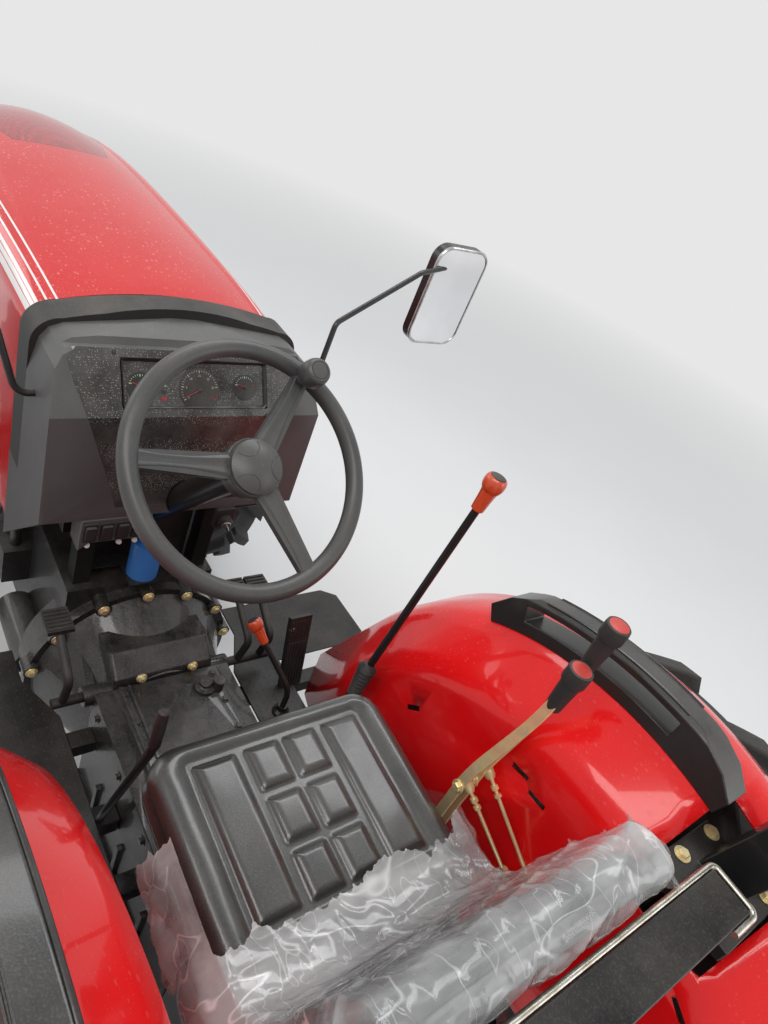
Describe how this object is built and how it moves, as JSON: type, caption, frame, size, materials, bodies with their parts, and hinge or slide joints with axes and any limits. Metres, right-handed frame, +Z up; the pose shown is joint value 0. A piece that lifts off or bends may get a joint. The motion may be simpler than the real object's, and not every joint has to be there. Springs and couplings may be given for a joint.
{
  "type": "farm tractor",
  "caption": "Open-station farm tractor with a roll-over frame, steered front wheels, an opening hood and a rear three-point linkage.",
  "frame": {"origin": "on the ground in the middle of the tractor's outline", "axes": "+X forward, +Y to the driver's left, +Z up"},
  "size_m": [3.3799, 1.615, 2.3],
  "materials": {
    "engine_paint": "satin black paint",
    "cast_black": "gloss black paint on a rough casting",
    "frame_black": "semi-gloss black paint, dusty",
    "radiator_black": "matt black",
    "case_plastic": "matt",
    "exhaust_steel": "dull, heat stained",
    "reservoir_blue": "translucent blue",
    "trim_rubber": "matt",
    "dash_plastic": "grained, dusty",
    "panel_gloss": "gloss",
    "plate_black": "checkered, dusty",
    "pedal_rubber": "ribbed",
    "lever_black": "gloss",
    "zinc_gold": "yellow zinc",
    "zinc_rod": "bright zinc",
    "body_red": "gloss red, dusty",
    "lamp_red": "lens",
    "lamp_clear": "clear lens",
    "seat_vinyl": "grained black vinyl",
    "grille_black": "matt",
    "wheel_plastic": "grained",
    "bright_steel": "machined",
    "rim_silver": "silver paint",
    "tyre_rubber": "matt"
  },
  "bodies": {
    "chassis": {"engine": "engine_paint", "clutch_housing": "cast_black", "gearbox": "cast_black", "rear_axle_housing": "cast_black", "drawbar": "frame_black", "front_support": "cast_black", "front_axle": "cast_black", "radiator": "radiator_black", "battery": "case_plastic", "air_cleaner": "case_plastic", "exhaust": "exhaust_steel", "fluid_reservoir": "reservoir_blue", "hood_seal": "trim_rubber", "dash_console": "dash_plastic", "instrument_panel": "panel_gloss", "switch_box": "dash_plastic", "steering_column": "frame_black", "footplates": "plate_black", "pedals": "pedal_rubber", "gear_levers": "lever_black", "hydraulic_levers": "zinc_gold", "fender_left": "body_red", "fender_right": "body_red", "grab_handles": "dash_plastic", "tail_lamps": "lamp_red", "seat_frame": "frame_black", "seat_cushion": "seat_vinyl", "seat_back": "seat_vinyl", "rops_frame": "frame_black", "guard_rod": "zinc_rod", "mirrors": "frame_black"},
    "hood_lid": {"hood": "body_red", "grille": "grille_black", "headlamps": "lamp_clear"},
    "hand_wheel": {"steering_wheel": "wheel_plastic"},
    "knuckle_left_body": {"knuckle_left": "cast_black"},
    "knuckle_right_body": {"knuckle_right": "cast_black"},
    "tie_rod_body": {"tie_rod": "frame_black"},
    "wheel_front_left": {"front_rim_left": "rim_silver", "front_tyre_left": "tyre_rubber"},
    "wheel_front_right": {"front_rim_right": "rim_silver", "front_tyre_right": "tyre_rubber"},
    "wheel_rear_left": {"rear_rim_left": "rim_silver", "rear_tyre_left": "tyre_rubber"},
    "wheel_rear_right": {"rear_rim_right": "rim_silver", "rear_tyre_right": "tyre_rubber"},
    "lift_arms_body": {"lift_arms": "frame_black"},
    "lift_rods_body": {"lift_rods": "frame_black"},
    "lower_links_body": {"lower_links": "frame_black"},
    "pto_body": {"pto_shaft": "bright_steel"}
  },
  "joints": [
    {"name": "hood_open", "type": "hinge", "parent": "chassis", "child": "hood_lid", "pos_m": [0.351, 0, 1.436], "axis": [0, -1, 0], "range_deg": [0, 50]},
    {"name": "steering_wheel_turn", "type": "hinge", "parent": "chassis", "child": "hand_wheel", "pos_m": [-0.1, 0, 1.38], "axis": [-0.6561, 0, 0.7547], "continuous": true},
    {"name": "steer_left", "type": "hinge", "parent": "chassis", "child": "knuckle_left_body", "pos_m": [1.2, 0.455, 0.475], "axis": [0, 0, 1], "range_deg": [-36, 36]},
    {"name": "steer_right", "type": "hinge", "parent": "chassis", "child": "knuckle_right_body", "pos_m": [1.2, -0.455, 0.475], "axis": [0, 0, 1], "range_deg": [-36, 36]},
    {"name": "tie_rod_turn", "type": "hinge", "parent": "knuckle_left_body", "child": "tie_rod_body", "pos_m": [1.365, 0.455, 0.408], "axis": [0, 0, 1], "range_deg": [-36, 36]},
    {"name": "front_wheel_left_spin", "type": "hinge", "parent": "knuckle_left_body", "child": "wheel_front_left", "pos_m": [1.2, 0.6, 0.475], "axis": [0, 1, 0], "continuous": true},
    {"name": "front_wheel_right_spin", "type": "hinge", "parent": "knuckle_right_body", "child": "wheel_front_right", "pos_m": [1.2, -0.6, 0.475], "axis": [0, 1, 0], "continuous": true},
    {"name": "rear_wheel_left_spin", "type": "hinge", "parent": "chassis", "child": "wheel_rear_left", "pos_m": [-0.75, 0.65, 0.62], "axis": [0, 1, 0], "continuous": true},
    {"name": "rear_wheel_right_spin", "type": "hinge", "parent": "chassis", "child": "wheel_rear_right", "pos_m": [-0.75, -0.65, 0.62], "axis": [0, 1, 0], "continuous": true},
    {"name": "lift_raise", "type": "hinge", "parent": "chassis", "child": "lift_arms_body", "pos_m": [-0.87, 0, 0.862], "axis": [0, 1, 0], "range_deg": [-10, 50]},
    {"name": "lower_links_raise", "type": "hinge", "parent": "chassis", "child": "lower_links_body", "pos_m": [-0.85, 0, 0.44], "axis": [0, 1, 0], "range_deg": [-10, 50]},
    {"name": "lift_rods_swing", "type": "hinge", "parent": "lift_arms_body", "child": "lift_rods_body", "pos_m": [-1.1791, 0, 0.77918], "axis": [0, 1, 0], "range_deg": [-50, 10]},
    {"name": "pto_spin", "type": "hinge", "parent": "chassis", "child": "pto_body", "pos_m": [-1.02, 0, 0.56], "axis": [1, 0, 0], "continuous": true}
  ],
  "couplings": [
    {"joint": "steer_right", "follows": "steer_left", "ratio": 1},
    {"joint": "tie_rod_turn", "follows": "steer_left", "ratio": -1},
    {"joint": "lower_links_raise", "follows": "lift_raise", "ratio": 1},
    {"joint": "lift_rods_swing", "follows": "lift_raise", "ratio": -1}
  ]
}
